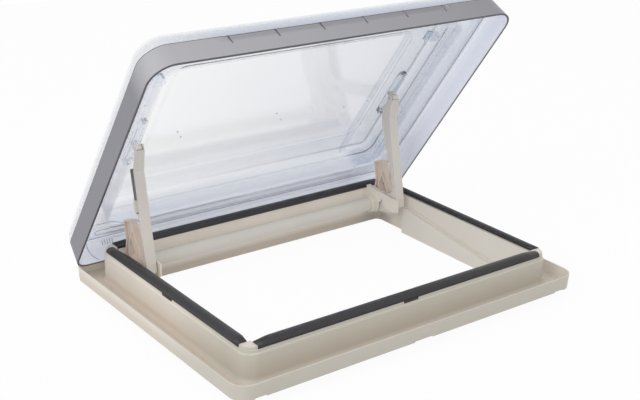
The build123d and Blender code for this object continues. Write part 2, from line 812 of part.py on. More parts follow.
def along_strut(start, length, radius):
    """Round bar on the strut's axis."""
    y, z = strut_point(start)
    angle = math.radians(strut_lean)
    plane = Plane(origin=(knuckle_x, y, z), z_dir=(0, -math.sin(angle), -math.cos(angle)))
    return extrude(plane * Circle(radius), length)


def make_strut_cylinder():
    """Right-hand gas strut cylinder, with a stud at its top in the arm's web."""
    body = along_strut(0, strut_length, strut_radius)
    body = chamfer(body.edges().filter_by(GeomType.CIRCLE), strut_edge)
    y, z = strut_point(strut_stud_drop)
    return body + side_rod(y, z, strut_stud_radius, arm_inner + arm_thickness, knuckle_x)


def make_strut_rod():
    """Right-hand piston rod, down to the eye on the lever."""
    return along_strut(strut_length, rod_length - strut_eye_radius, rod_radius)


def make_strut_eye():
    """Right-hand rod eye, on the lever's stud."""
    y, z = strut_point(strut_length + rod_length)
    half = strut_eye_width / 2
    eye = side_rod(y, z, strut_eye_radius, knuckle_x - half, knuckle_x + half)
    return eye - side_rod(y, z, rod_radius, knuckle_x - half - spare, knuckle_x + half + spare)


def make_strut_clip():
    """Right-hand clip round the strut's lower end, open towards the web."""
    start = strut_length - clip_length - clip_end_gap
    ring = along_strut(start, clip_length, strut_radius + clip_wall)
    ring -= along_strut(start - spare, clip_length + 2 * spare, strut_radius)
    y, z = strut_point(start + clip_length / 2)
    half = clip_slot / 2
    return ring - block(arm_inner, knuckle_x - spare, y - half, y + half, z - clip_length, z + clip_length)


def cheek_top_line(y):
    """Height of the bearing plate's top edge, which slopes down to its nose."""
    nose_y = tube_y - cheek_reach
    nose_z = tube_z + cheek_nose_top
    return nose_z + (cheek_top - nose_z) * (y - nose_y) / (open_y - nose_y)


def make_cheek():
    """Right-hand bearing plate, with a boss round the tube and a flange on the back wall."""
    back = open_y
    low = tube_z - cheek_boss
    nose = from_tube([(-cheek_reach, cheek_nose_top), (-cheek_reach, cheek_nose_low)])
    points = [(back, cheek_top)] + nose + from_tube(cheek_notch) + [(tube_y, low), (back, low)]
    face = make_face(Polyline(*points, close=True))
    notch_y = tube_y + cheek_notch[0][0]
    rounded = [v for v in face.vertices() if v.X < notch_y + spare and v.Y < tube_z + spare]
    face = fillet(rounded, cheek_nose_round)
    face += Pos(tube_y, tube_z) * Circle(cheek_boss)
    plate = extrude(Plane.YZ.offset(cheek_inner) * face, cheek_thickness)
    flange_z = tube_z + cheek_flange_low
    plate += block(cheek_outer, cheek_outer + cheek_flange, back - cheek_thickness, back,
                   flange_z, flange_z + cheek_flange_height)
    front = tube_y - cheek_cover_reach
    thick = cheek_cover_thickness
    plate += side_plate([(back, cheek_top), (front, cheek_top_line(front)),
                         (front, cheek_top_line(front) - thick), (back, cheek_top - thick)],
                        cheek_outer, cheek_outer + cheek_cover)
    return plate - side_rod(tube_y, tube_z, tube_radius + bush_wall / 2, cheek_inner - spare,
                            cheek_outer + spare)


def make_bush():
    """Right-hand tube bush: a collar in front of the bearing plate and a sleeve in its bore."""
    start = cheek_inner - bush_length
    collar = side_rod(tube_y, tube_z, tube_radius + bush_wall, start, cheek_inner)
    collar = chamfer(collar.edges().group_by(Axis.X)[0], bush_edge)
    sleeve = side_rod(tube_y, tube_z, tube_radius + bush_wall / 2, cheek_inner, cheek_outer)
    bore = side_rod(tube_y, tube_z, tube_radius + tube_running_gap, start - spare, cheek_outer + spare)
    return collar + sleeve - bore


def make_cross_tube():
    """Tube across the opening, through both bearing plates to the levers."""
    outer = side_rod(tube_y, tube_z, tube_radius, -lever_outer, lever_outer)
    end = lever_outer + spare
    return outer - side_rod(tube_y, tube_z, tube_radius - tube_wall, -end, end)


def make_latch_hook():
    """Right-hand latch hook: a base fitted to the pane's bend, with two ears and a catch bar."""
    mid = open_x - hook_wall_gap - hook_width / 2
    half = hook_width / 2
    y_low = hook_y - hook_length / 2
    y_high = hook_y + hook_length / 2
    low = pane_z - hook_height
    body = block(mid - half, mid + half, y_low, y_high, low, pane_z)
    body -= block(mid - half + hook_wall, mid + half - hook_wall, y_low + hook_wall, y_high + spare,
                  low + hook_wall, pane_z - hook_wall)
    body -= block(mid - half - spare, mid + half + spare, y_low + hook_length * hook_back_share,
                  y_high + spare, low - spare, pane_z - hook_height * hook_back_share)
    return body & tray_solid(0.0)


def make_screws():
    """Screw groups: hinge brackets, hinge leaves, slotted brackets and bearing plates."""
    frame_screws = []
    leaf_screws = []
    bracket_screws = []
    cheek_screws = []
    bracket_y = upstand_back + hinge_plate_thickness
    bracket_z = hinge_z + hinge_screw_rise
    leaf_z = hinge_z + leaf_screw_rise
    leaf_y = lid_back - band_wall - hinge_plate_thickness - band_draft * (leaf_z - lid_base) / band_height
    cheek_y = open_y - cheek_thickness
    cheek_z = tube_z + cheek_flange_low + cheek_flange_height / 2
    for side in (-1, 1):
        for end in (-1, 1):
            x = side * hinge_half_spacing + end * hinge_screw_spread
            frame_screws.append(screw(x, bracket_y, bracket_z, (0, 1, 0), hinge_screw_length))
            leaf_screws.append(screw(x, leaf_y, leaf_z, (0, -1, 0), hinge_screw_length))
            x = side * (cheek_outer + (cheek_flange + end * cheek_screw_pitch) / 2)
            cheek_screws.append(screw(x, cheek_y, cheek_z, (0, -1, 0), cheek_screw_length))
        for y in bracket_screw_places():
            x = side * knuckle_x
            bracket_screws.append(screw(x, y, bracket_low, (0, 0, -1), bracket_screw_length))
    return {"hinge_screws": Part() + frame_screws, "leaf_screws": opened(Part() + leaf_screws),
            "bracket_screws": opened(Part() + bracket_screws), "cheek_screws": Part() + cheek_screws}


def drill(nodes):
    """Cut each screw's hole in the pieces that it holds together."""
    held = {"hinge_screws": ["outer_frame", "hinge_bracket_right", "hinge_bracket_left"],
            "cheek_screws": ["outer_frame", "cheek_plate_right", "cheek_plate_left"],
            "leaf_screws": ["lid_band", "hinge_leaf_right", "hinge_leaf_left"],
            "bracket_screws": ["inner_pane"]}
    for screws, pieces in held.items():
        for piece in pieces:
            nodes[piece] = nodes[piece] - nodes[screws]


def make_nodes():
    """Every piece of the hatch by name."""
    nodes = {"outer_frame": make_outer_frame(), "cross_tube": make_cross_tube(),
             "lid_band": opened(make_band()), "dome_outer": opened(make_dome()),
             "inner_pane": opened(make_pane())}
    nodes.update(make_seals())
    nodes.update(make_screws())
    paired = {"hinge_bracket": make_hinge_bracket(), "hinge_pin": make_hinge_pin(),
              "hinge_leaf": opened(make_hinge_leaf()), "cheek_plate": make_cheek(),
              "tube_bush": make_bush(), "lift_arm": make_lift_arm(), "lever": make_lever(),
              "strut_cylinder": make_strut_cylinder(), "strut_rod": make_strut_rod(),
              "strut_eye": make_strut_eye(), "strut_clip": make_strut_clip(),
              "knuckle": opened(make_knuckle()), "knuckle_pin": make_knuckle_pin(),
              "slide_bracket": opened(make_slide_bracket()), "latch_hook": opened(make_latch_hook())}
    for name, shape in paired.items():
        nodes[name + "_right"] = shape
        nodes[name + "_left"] = other_side(shape)
    drill(nodes)
    return nodes


def main():
    """Write one STEP file for each piece."""
    os.makedirs("parts", exist_ok=True)
    for name, shape in make_nodes().items():
        export_step(shape, os.path.join("parts", name + ".step"))


main()
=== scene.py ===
"""Roof hatch with an open clear lid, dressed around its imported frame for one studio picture."""

import json
import logging
import math
from dataclasses import dataclass
from enum import Enum
from typing import Optional, Union

import bpy
from mathutils import Matrix, Vector


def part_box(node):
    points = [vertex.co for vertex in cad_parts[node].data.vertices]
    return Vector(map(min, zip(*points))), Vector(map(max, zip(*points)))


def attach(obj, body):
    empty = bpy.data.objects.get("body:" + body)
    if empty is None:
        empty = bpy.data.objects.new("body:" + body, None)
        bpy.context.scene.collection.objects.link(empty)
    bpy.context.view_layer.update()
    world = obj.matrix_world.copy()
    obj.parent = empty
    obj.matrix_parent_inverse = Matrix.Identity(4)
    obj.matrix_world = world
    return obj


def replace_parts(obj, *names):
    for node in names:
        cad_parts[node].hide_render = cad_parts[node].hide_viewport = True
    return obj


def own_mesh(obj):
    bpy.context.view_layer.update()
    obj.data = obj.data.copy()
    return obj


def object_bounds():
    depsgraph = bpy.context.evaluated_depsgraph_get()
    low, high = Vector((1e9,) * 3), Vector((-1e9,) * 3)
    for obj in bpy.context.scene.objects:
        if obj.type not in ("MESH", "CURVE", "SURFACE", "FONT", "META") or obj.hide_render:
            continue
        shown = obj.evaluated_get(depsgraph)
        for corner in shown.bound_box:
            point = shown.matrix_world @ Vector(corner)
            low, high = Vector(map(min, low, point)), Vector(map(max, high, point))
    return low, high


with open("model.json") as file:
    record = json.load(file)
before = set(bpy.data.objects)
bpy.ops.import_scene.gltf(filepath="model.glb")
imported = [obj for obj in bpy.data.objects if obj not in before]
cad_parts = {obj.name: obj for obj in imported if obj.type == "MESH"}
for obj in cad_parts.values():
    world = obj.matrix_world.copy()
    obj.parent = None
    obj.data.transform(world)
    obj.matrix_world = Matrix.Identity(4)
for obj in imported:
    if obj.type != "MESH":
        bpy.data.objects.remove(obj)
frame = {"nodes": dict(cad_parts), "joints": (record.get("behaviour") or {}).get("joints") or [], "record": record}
cad_low, cad_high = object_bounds()

log = logging.getLogger("roof_hatch")

IMAGE_WIDTH = 640
IMAGE_HEIGHT = 400
MILLIMETRE = 0.001

Material = bpy.types.Material
Node = bpy.types.Node
Object = bpy.types.Object
Socket = bpy.types.NodeSocket
Rgb = tuple[int, int, int]
Line = list[tuple[float, float]]
Mesh = tuple[list[Vector], list[tuple[int, ...]]]

BLACK = (0, 0, 0)
WHITE = (255, 255, 255)

# Faces of a block whose corners 0 to 3 go round below and 4 to 7 above
BLOCK_SIDES = [(3, 2, 1, 0), (4, 5, 6, 7), (0, 1, 5, 4), (1, 2, 6, 5), (2, 3, 7, 6), (3, 0, 4, 7)]


class SealSide(Enum):
    """The side of the opening that a seal lies on."""

    FRONT = "front"
    BACK = "back"
    LEFT = "left"
    RIGHT = "right"

    @property
    def bulge(self) -> tuple[float, float]:
        """How far the seal swells inward and upward past its CAD strip, in millimetres."""
        return (1.0, 0.4) if self is SealSide.RIGHT else (8.0, 3.6)


def linear(red: int, green: int, blue: int) -> tuple[float, float, float, float]:
    """Turn a display colour into the linear colour that shaders take.

    Args:
        red: its red, from 0 to 255.
        green: its green.
        blue: its blue.

    Returns:
        The linear colour, with an alpha of 1.
    """
    def channel(value: int) -> float:
        """One channel."""
        share = value / 255
        return share / 12.92 if share <= 0.04045 else ((share + 0.055) / 1.055) ** 2.4
    return channel(red), channel(green), channel(blue), 1.0


@dataclass(frozen=True)
class LidSpace:
    """The shut lid's own coordinates, in millimetres, and the way to the open lid at rest."""

    hinge_y: float
    hinge_z: float
    angle: float

    @classmethod
    def from_frame(cls) -> "LidSpace":
        """Read the hinge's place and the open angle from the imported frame."""
        joint = next(j for j in frame["joints"] if j["name"] == "lid_hinge")
        y, z = joint["pos_m"][1], joint["pos_m"][2]
        return cls(y / MILLIMETRE, z / MILLIMETRE, math.radians(joint["range_deg"][1]))

    def opened(self, x: float, y: float, z: float) -> Vector:
        """Turn a point of the shut lid to where it is with the lid open.

        Args:
            x: its place along X, in millimetres.
            y: its place along Y.
            z: its height.

        Returns:
            The point on the open lid, in millimetres.
        """
        dy, dz = y - self.hinge_y, z - self.hinge_z
        turn_y = dy * math.cos(self.angle) + dz * math.sin(self.angle)
        turn_z = dz * math.cos(self.angle) - dy * math.sin(self.angle)
        return Vector((x, self.hinge_y + turn_y, self.hinge_z + turn_z))

    def shut_box(self, node: str) -> tuple[Vector, Vector]:
        """Measure a CAD node of the lid as if it were shut.

        Args:
            node: the node's name.

        Returns:
            Its lowest and highest corner, in millimetres.
        """
        low, high = Vector((math.inf,) * 3), Vector((-math.inf,) * 3)
        for vertex in frame["nodes"][node].data.vertices:
            place = vertex.co / MILLIMETRE
            dy, dz = place.y - self.hinge_y, place.z - self.hinge_z
            y = self.hinge_y + dy * math.cos(self.angle) - dz * math.sin(self.angle)
            z = self.hinge_z + dy * math.sin(self.angle) + dz * math.cos(self.angle)
            for axis, value in enumerate((place.x, y, z)):
                low[axis] = min(low[axis], value)
                high[axis] = max(high[axis], value)
        return low, high


class Wire:
    """A number socket in a node tree, with arithmetic that adds Math nodes."""

    def __init__(self, tree: bpy.types.NodeTree, socket: Socket) -> None:
        """Wrap an output socket of a node tree."""
        self.tree = tree
        self.socket = socket

    def math(self, operation: str, left: "Number", right: "Number", clamp: bool = False) -> "Wire":
        """Add one Math node.

        Args:
            operation: the Math node's operation.
            left: first value or wire.
            right: second value or wire.
            clamp: keep the result between 0 and 1.

        Returns:
            The node's result.
        """
        node = self.tree.nodes.new("ShaderNodeMath")
        node.operation = operation
        node.use_clamp = clamp
        for place, value in enumerate((left, right)):
            if isinstance(value, Wire):
                self.tree.links.new(value.socket, node.inputs[place])
            else:
                node.inputs[place].default_value = value
        return Wire(self.tree, node.outputs[0])

    def __add__(self, other: "Number") -> "Wire":
        """Sum."""
        return self.math("ADD", self, other)

    __radd__ = __add__

    def __sub__(self, other: "Number") -> "Wire":
        """Difference."""
        return self.math("SUBTRACT", self, other)

    def __rsub__(self, other: "Number") -> "Wire":
        """Difference from the other value."""
        return self.math("SUBTRACT", other, self)

    def __mul__(self, other: "Number") -> "Wire":
        """Product."""
        return self.math("MULTIPLY", self, other)

    __rmul__ = __mul__

    def __pow__(self, other: "Number") -> "Wire":
        """Power."""
        return self.math("POWER", self, other)

    def __rpow__(self, other: "Number") -> "Wire":
        """The other value to the power of this one."""
        return self.math("POWER", other, self)

    def __abs__(self) -> "Wire":
        """Size without its sign."""
        return self.math("ABSOLUTE", self, 0.0)

    def clamped(self) -> "Wire":
        """The value held between 0 and 1."""
        return self.math("ADD", self, 0.0, clamp=True)

    def either(self, other: "Number") -> "Wire":
        """The larger of two values."""
        return self.math("MAXIMUM", self, other)

    def over(self, limit: float, softness: float) -> "Wire":
        """1 above a limit and 0 below it, with a soft step."""
        return ((self - limit) * (1 / softness) + 0.5).clamped()

    def under(self, limit: float, softness: float) -> "Wire":
        """1 below a limit and 0 above it, with a soft step."""
        return 1.0 - self.over(limit, softness)

    def within(self, low: float, high: float, softness: float) -> "Wire":
        """1 between two values, with soft steps."""
        return self.over(low, softness) * self.under(high, softness)


Number = Union[Wire, float]
Colour = Union[Socket, Rgb]


class NodeTree:
    """A node tree with one method for any node, and one for mixed shaders."""

    def __init__(self, tree: bpy.types.NodeTree) -> None:
        """Take over the node tree of a material or of the world, and empty it."""
        self.tree = tree
        self.tree.nodes.clear()

    def node(self, kind: str, settings: Optional[dict] = None, sockets: Optional[dict] = None) -> Node:
        """Add any node.

        Args:
            kind: the node's type.
            settings: attributes that are set first.
            sockets: values or links for the input sockets, by name or number.

        Returns:
            The new node.
        """
        made = self.tree.nodes.new(kind)
        for key, value in (settings or {}).items():
            setattr(made, key, value)
        for key, value in (sockets or {}).items():
            source = value.socket if isinstance(value, Wire) else value
            if isinstance(source, Socket):
                self.tree.links.new(source, made.inputs[key])
            else:
                made.inputs[key].default_value = source
        return made

    def wire(self, socket: Socket) -> Wire:
        """Wrap an output socket for arithmetic."""
        return Wire(self.tree, socket)

    def blend(self, share: Union[Number, Socket], first: Node, second: Node) -> Node:
        """Mix two shaders, with the second one's share."""
        return self.node("ShaderNodeMixShader",
                         sockets={0: share, 1: first.outputs[0], 2: second.outputs[0]})


class Palette(NodeTree):
    """A material's node tree, with the mixes that the finishes share."""

    def __init__(self, name: str) -> None:
        """Make an empty material.

        Args:
            name: the material's name.
        """
        self.material = bpy.data.materials.new(name)
        self.material.use_nodes = True
        super().__init__(self.material.node_tree)
        self.output = self.node("ShaderNodeOutputMaterial")
        coordinates = self.node("ShaderNodeTexCoord").outputs
        self.place = coordinates["Object"]
        self.normal = coordinates["Normal"]

    def noise(self, scale: float) -> Wire:
        """Noise over the object's own coordinates, from 0 to 1."""
        made = self.node("ShaderNodeTexNoise", sockets={"Vector": self.place, "Scale": scale, "Detail": 3.0})
        return self.wire(made.outputs["Fac"])

    def split(self, vector: Socket) -> tuple[Wire, Wire, Wire]:
        """The X, Y and Z of a vector."""
        x, y, z = self.node("ShaderNodeSeparateXYZ", sockets={0: vector}).outputs
        return self.wire(x), self.wire(y), self.wire(z)

    def in_millimetres(self) -> tuple[Wire, Wire, Wire]:
        """The object's own coordinates, in millimetres."""
        x, y, z = self.split(self.place)
        return x * (1 / MILLIMETRE), y * (1 / MILLIMETRE), z * (1 / MILLIMETRE)

    def in_lid(self, space: LidSpace) -> tuple[Wire, Wire, Wire]:
        """Coordinates of the shut lid over its open pieces, in millimetres.

        Args:
            space: the lid's coordinates.

        Returns:
            The X, Y and Z wires.
        """
        x, y, z = self.in_millimetres()
        dy, dz = y - space.hinge_y, z - space.hinge_z
        cosine, sine = math.cos(space.angle), math.sin(space.angle)
        return x, dy * cosine - dz * sine + space.hinge_y, dy * sine + dz * cosine + space.hinge_z

    def mixed(self, share: Number, first: Colour, second: Colour) -> Socket:
        """Mix two colours.

        Args:
            share: how much of the second colour shows.
            first: colour at 0.
            second: colour at 1.

        Returns:
            The mixed colour's socket.
        """
        ends = [linear(*end) if isinstance(end, tuple) else end for end in (first, second)]
        made = self.node("ShaderNodeMix", {"data_type": "RGBA"}, {0: share, 6: ends[0], 7: ends[1]})
        return made.outputs[2]

    def bump(self, height: Wire, strength: float, distance: float) -> Socket:
        """Normals from a height of 0 to 1, where 1 stands for a distance in metres."""
        made = self.node("ShaderNodeBump",
                         sockets={"Strength": strength, "Distance": distance, "Height": height})
        return made.outputs[0]

    def outside(self, centre: Vector, softness: float = 0.01) -> Wire:
        """1 where a face looks away from a point inside the object, and 0 on a lining.

        Args:
            centre: the point inside, in metres.
            softness: width of the step, in metres.

        Returns:
            The share.
        """
        away = self.node("ShaderNodeVectorMath", {"operation": "SUBTRACT"}, {0: self.place, 1: centre})
        dot = self.node("ShaderNodeVectorMath", {"operation": "DOT_PRODUCT"},
                        {0: away.outputs[0], 1: self.normal})
        return self.wire(dot.outputs["Value"]).over(0.0, softness)

    def surface(self, shader: Node) -> Material:
        """Send a shader to the output and give the finished material."""
        self.tree.links.new(shader.outputs[0], self.output.inputs["Surface"])
        return self.material


@dataclass(frozen=True)
class Moulding:
    """Opaque plastic, rubber, paint or metal with a fine grain and slow changes of colour."""

    name: str
    light: Rgb
    dark: Rgb
    roughness: float
    metallic: float = 0.0
    mottle_scale: float = 9.0
    mottle_colour: float = 1.6
    mottle_roughness: float = 0.12
    grain_scale: float = 900.0
    grain_strength: float = 0.4
    grain_depth: float = 0.00002

    def coat(self, palette: Palette, colour: Socket) -> dict:
        """What the shader takes besides its roughness and grain, from the mottled colour."""
        return {"Base Color": colour, "Metallic": self.metallic}

    def build(self) -> Material:
        """Make the material."""
        palette = Palette(self.name)
        cloud = palette.noise(self.mottle_scale) - 0.5
        colour = palette.mixed(cloud * self.mottle_colour + 0.5, self.light, self.dark)
        normal = palette.bump(palette.noise(self.grain_scale), self.grain_strength, self.grain_depth)
        return palette.surface(palette.node("ShaderNodeBsdfPrincipled", sockets={
            "Roughness": cloud * self.mottle_roughness + self.roughness, "Normal": normal,
            **self.coat(palette, colour)}))


@dataclass(frozen=True)
class FramePlastic(Moulding):
    """Moulding with painted shade that is browner in the gutter's cove and low on the back wall inside, greyer on
    the outer sides and on the inner right faces, and a soft painted glow on its inner faces.
    """

    # Painted shade: a browner colour for the shade in the gutter's cove and low on the back wall inside
    cove_shade: Rgb = (199, 184, 167)
    cove_shade_share: float = 0.55
    # Painted shade on the outer faces that look to the front, the right and the left
    outer: Rgb = (197, 192, 181)
    front_shade_share: float = 0.9
    right_shade_share: float = 0.55
    left_share: float = 1.2
    # Painted shade on the inner faces at the right end
    side: Rgb = (196, 192, 184)
    side_shade_share: float = 0.75
    # Painted glow: the inner faces give off light of this colour
    painted_glow: Rgb = (206, 200, 190)
    painted_glow_strength: float = 0.18
    opening_x: float = 351.0
    opening_y: float = 251.0
    cove_z: tuple[float, float] = (-4.0, 18.0)
    front_y: float = -246.0
    rim_x: float = 372.0
    left_x: float = -355.0
    left_fade_y: float = -130.0
    left_fade: float = 220.0
    deep_y: float = 200.0
    deep_z: float = -1.0
    side_x: float = 300.0
    face_step: float = 6.0

    def outer_shade_share(self, palette: Palette, x: Wire, y: Wire) -> Wire:
        """How much of the outer colour shows as painted shade on the front, right and left outer faces.

        Args:
            palette: the material's nodes.
            x: place along X, in millimetres.
            y: place along Y.

        Returns:
            The share.
        """
        to_right, to_back, _ = palette.split(palette.normal)
        front = (0.0 - to_back).over(0.5, 0.5) * y.under(self.front_y, self.face_step)
        right = to_right.over(0.5, 0.5) * x.over(self.rim_x, self.face_step)
        left = (0.0 - to_right).over(0.5, 0.5) * x.under(self.left_x, self.face_step)
        left = left * y.under(self.left_fade_y, self.left_fade)
        return (front * self.front_shade_share + right * self.right_shade_share + left * self.left_share).clamped()

    def coat(self, palette: Palette, colour: Socket) -> dict:
        """Paint shade onto the mottled colour, and a painted glow onto the inner faces.

        Args:
            palette: the material's nodes.
            colour: the mottled colour.

        Returns:
            What the shader takes besides its roughness and grain.
        """
        x, y, z = palette.in_millimetres()
        beyond = abs(x).over(self.opening_x, 3.0).either(abs(y).over(self.opening_y, 3.0))
        # Painted shade in the gutter's cove
        cove_shade = z.within(*self.cove_z, 14.0) * beyond
        outside = palette.outside(Vector((0.0, 0.0, 0.0)), 0.05)
        # Painted shade low on the back wall inside
        deep_shade = y.over(self.deep_y, 20.0) * z.under(self.deep_z, 12.0) * (1.0 - outside)
        # Painted shade on the inner faces at the right end
        side = x.over(self.side_x, 20.0) * (1.0 - outside)
        colour = palette.mixed(cove_shade * self.cove_shade_share, colour, self.cove_shade)
        # Painted shade on the outer front, right and left faces
        colour = palette.mixed(self.outer_shade_share(palette, x, y), colour, self.outer)
        colour = palette.mixed(deep_shade * self.cove_shade_share, colour, self.cove_shade)
        colour = palette.mixed(side * self.side_shade_share, colour, self.side)
        # Painted glow on the inner faces, except low at the back
        return {"Base Color": colour, "Emission Strength": self.painted_glow_strength,
                "Emission Color": palette.mixed(outside.either(deep_shade), self.painted_glow, BLACK)}


@dataclass(frozen=True)
class ClearFitting:
    """Clear acrylic of a small thick fitting, with painted shade that tints it more and more from the lid's left
    to its right.
    """

    name: str
    left: Rgb
    right: Rgb
    roughness: float = 0.02
    ior: float = 1.33
    half_length: float = 420.0
    unevenness: float = 0.3

    def build(self) -> Material:
        """Make the material."""
        palette = Palette(self.name)
        # Painted shade: the tint deepens from the lid's left to its right
        share = palette.in_millimetres()[0] * (0.5 / self.half_length) + 0.5
        cloud = (palette.noise(6.0) - 0.5) * self.unevenness
        tint = palette.mixed((share + cloud).clamped(), self.left, self.right)
        shader = palette.node("ShaderNodeBsdfPrincipled", sockets={
            "Base Color": tint, "Roughness": self.roughness, "IOR": self.ior, "Transmission Weight": 1.0})
        return palette.surface(shader)


@dataclass(frozen=True)
class ThinSheet:
    """Surface of a thin clear sheet that shows what is behind it unbent."""

    shine: float = 0.5
    edge: float = 0.15
    roughness: float = 0.2
    polish: float = 0.04
    mirror: float = 0.02
    # Painted glow: the sheet's body gives off light of its own colour
    painted_glow: float = 0.12

    def dress(self, palette: Palette, density: Wire, colour: Socket) -> Material:
        """Finish a palette's material as this sheet.

        Args:
            palette: the material's nodes.
            density: how much of its own colour the sheet shows, from 0 to 1.
            colour: its own colour.

        Returns:
            The material.
        """
        weight = palette.node("ShaderNodeLayerWeight", sockets={"Blend": 0.5})
        grazing = palette.wire(weight.outputs["Facing"])
        clear = palette.node("ShaderNodeBsdfTransparent")
        # The body has a painted glow
        body = palette.node("ShaderNodeBsdfPrincipled", sockets={
            "Base Color": colour, "Roughness": self.roughness,
            "Emission Color": colour, "Emission Strength": self.painted_glow})
        gloss = palette.node("ShaderNodeBsdfGlossy", sockets={"Roughness": self.polish})
        cloudy = palette.blend((density + grazing ** 6.0 * self.edge).clamped(), clear, body)
        return palette.surface(palette.blend(grazing ** 4.0 * self.shine + self.mirror, cloudy, gloss))


@dataclass(frozen=True)
class DomeSheet:
    """The dome's acrylic: a painted bluish grey shade where it rolls over the band, fainter towards the left, and
    clear on its flat top.
    """

    space: LidSpace
    low_z: float
    high_z: float
    # Painted shade: the bluish grey where the dome rolls over the band, going pale towards its top
    edge: Rgb = (184, 191, 204)
    top: Rgb = (222, 227, 237)
    lining: Rgb = (240, 243, 250)
    edge_shade_density: float = 0.80
    top_density: float = 0.02
    left_density: float = 0.2
    left_x: float = -330.0
    left_fade: float = 180.0
    unevenness: float = 0.02
    sheet: ThinSheet = ThinSheet(shine=0.25, edge=0.05)
    name: str = "dome_acrylic"

    def build(self) -> Material:
        """Make the material."""
        palette = Palette(self.name)
        x, _, z = palette.in_lid(self.space)
        rise = ((z - self.low_z) * (1 / (self.high_z - self.low_z))).clamped()
        inside = 1.0 - palette.outside(self.space.opened(0.0, 0.0, self.low_z) * MILLIMETRE)
        outer = palette.mixed(rise, self.edge, self.top)
        tint = palette.mixed(inside, outer, self.lining)
        # Painted shade: denser where the dome rolls over the band, less so towards the left
        density = (1.0 - rise) ** 0.8 * (self.edge_shade_density - self.top_density)
        shade_towards_right = x.over(self.left_x, self.left_fade) * (1 - self.left_density) + self.left_density
        cloud = palette.noise(6.0) * self.unevenness
        return self.sheet.dress(palette, density * shade_towards_right + self.top_density + cloud, tint)


@dataclass(frozen=True)
class BySide:
    """A strength on the pane's right, left and back walls, over one that all places have."""

    right: float
    left: float
    back: float = 0.0
    everywhere: float = 0.0

    def at(self, right: Wire, left: Wire, back: Wire) -> Wire:
        """The strength at a place, from how much it belongs to each side."""
        return right * self.right + left * self.left + back * self.back + self.everywhere


@dataclass(frozen=True)
class PaneSheet:
    """The pane's acrylic: painted shade that makes it denser to the right and on its walls, painted dark lines
    along its bends, and a painted highlight line on its walls.
    """

    space: LidSpace
    body: Rgb = (172, 184, 210)
    flange: Rgb = (232, 237, 248)
    # Colour of the painted dark lines along the bends
    dark: Rgb = (92, 95, 106)
    # Colour of the painted highlight line on the walls
    painted_highlight_colour: Rgb = (244, 240, 236)
    half_length: float = 350.0
    right_x: float = 290.0
    left_x: float = -330.0
    back_y: float = 150.0
    flat_z: float = 122.0
    flange_z: float = 82.0
    flange_width: float = 52.0
    # Painted shade: the flat top is denser to the right than to the left and at the back
    top_right: float = 0.19
    top_left: float = 0.01
    top_back: float = 0.02
    streak: float = 0.03
    streak_bands: tuple[tuple[float, float, float], ...] = ((84.0, 122.0, 24.0), (140.0, 170.0, 16.0))
    # Painted shade: the walls and the flange are denser on the right
    wall_density: BySide = BySide(0.22, 0.08, 0.10, 0.02)
    flange_density: BySide = BySide(0.24, 0.12, 0.14, 0.03)
    # Painted shade in a strip beside the fold, and a painted dark line along it
    fold_x: float = 267.0
    fold_width: float = 18.0
    fold_density: float = 0.07
    fold_shade: float = 0.5
    # Painted dark lines along the bends: at the crease, the ridge and the lip
    crease_z: tuple[float, float] = (111.6, 113.0)
    crease_shade: BySide = BySide(0.8, 0.35, 0.25)
    ridge_z: tuple[float, float] = (129.0, 131.0)
    ridge_right: float = 0.6
    ridge_left: float = 0.03
    lip_z: tuple[float, float] = (79.0, 79.8)
    lip_x: float = 372.0
    lip_shade: float = 0.45
    # Painted highlight line along the walls
    glint_z: tuple[float, float] = (95.6, 98.2)
    painted_highlight_strength: BySide = BySide(0.5, 0.3)
    sheet: ThinSheet = ThinSheet()
    name: str = "pane_acrylic"

    def build(self) -> Material:
        """Make the material."""
        palette = Palette(self.name)
        x, y, z = palette.in_lid(self.space)
        share = (x * (0.5 / self.half_length) + 0.5).clamped()
        back = y.over(self.back_y, 40.0)
        sides = x.over(self.right_x, 30.0), x.under(self.left_x, 30.0), back
        low, high = self.space.shut_box("inner_pane")
        within = x.within(low.x + self.flange_width, high.x - self.flange_width, 2.0)
        within = within * y.within(low.y + self.flange_width, high.y - self.flange_width, 2.0)
        flat = z.over(self.flat_z, 5.0)
        flange = 1.0 - z.over(self.flange_z, 2.0) * within
        wall = (1.0 - flat) * (1.0 - flange)
        fold = flat * x.within(self.fold_x, self.fold_x + self.fold_width, 1.0)
        streaks = sum(y.within(*band) for band in self.streak_bands) * self.streak
        # Painted shade: denser to the right, on the walls and beside the fold
        density = flat * (share ** 1.5 * self.top_right + self.top_left + streaks + back * self.top_back)
        density += wall * self.wall_density.at(*sides) + flange * self.flange_density.at(*sides)
        density += fold * self.fold_density + palette.noise(5.0) * 0.03 - 0.01
        # Painted dark lines along the bends
        painted_bend_shade = z.within(*self.crease_z, 0.6) * self.crease_shade.at(*sides)
        painted_bend_shade += z.within(*self.ridge_z, 0.4) * (share ** 2.0 * self.ridge_right + self.ridge_left)
        painted_bend_shade += flat * x.within(self.fold_x, self.fold_x + 1.4, 0.8) * self.fold_shade
        painted_bend_shade += z.within(*self.lip_z, 0.5) * x.over(self.lip_x, 2.0) * self.lip_shade
        # Painted highlight line on the walls
        painted_highlight_line = z.within(*self.glint_z, 0.8) * self.painted_highlight_strength.at(*sides)
        tint = palette.mixed(flange, self.body, self.flange)
        tint = palette.mixed(painted_bend_shade.clamped(), tint, self.dark)
        tint = palette.mixed(painted_highlight_line.clamped(), tint, self.painted_highlight_colour)
        return self.sheet.dress(palette, density + painted_bend_shade * 0.5 + painted_highlight_line * 0.6, tint)


